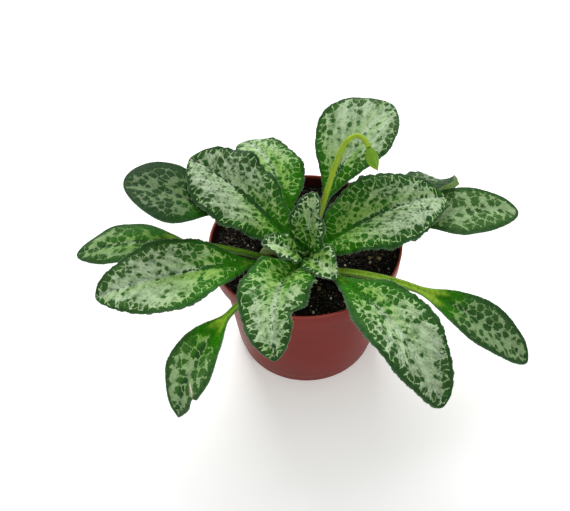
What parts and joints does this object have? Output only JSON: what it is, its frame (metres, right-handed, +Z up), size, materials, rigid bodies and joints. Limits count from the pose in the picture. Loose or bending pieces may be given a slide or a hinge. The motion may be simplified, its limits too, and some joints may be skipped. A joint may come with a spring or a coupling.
{
  "type": "potted primulina plant",
  "caption": "Young primulina house plant: a rosette of silver-netted green leaves with an arched flower stalk and bud, in a clay-red plastic pot of peat.",
  "frame": {"origin": "middle of the pot's flat base, on the plane that it stands on", "axes": "+Z up along the pot's axis; the picture is taken from the -Y side, with its right at +X"},
  "size_m": [0.2276, 0.1666, 0.1347],
  "materials": {
    "pot_plastic": "satin clay-red moulded plastic",
    "peat": "moist dark peat with perlite grains; wood stands in for it",
    "leaf": "living leaf, silver net on green; leather stands in for leaf tissue",
    "stem": "juicy yellow-green stem; leather stands in for plant tissue",
    "bud": "green ribbed bud; leather stands in for plant tissue"
  },
  "bodies": {
    "root": {"pot": "pot_plastic", "soil": "peat", "crown": "stem", "leaf_far_left_upper": "leaf", "leaf_left_upper": "leaf", "leaf_back_left": "leaf", "leaf_back_tall": "leaf", "leaf_right_upper": "leaf", "leaf_right_rear": "leaf", "leaf_far_right_upper": "leaf", "leaf_left_middle": "leaf", "leaf_left_lower": "leaf", "leaf_front_left": "leaf", "leaf_front": "leaf", "leaf_right_lower": "leaf", "leaf_far_right_lower": "leaf", "young_leaf_upright": "leaf", "young_leaf_left": "leaf", "young_leaf_right": "leaf", "flower_stalk": "stem", "flower_bud": "bud"}
  },
  "joints": []
}
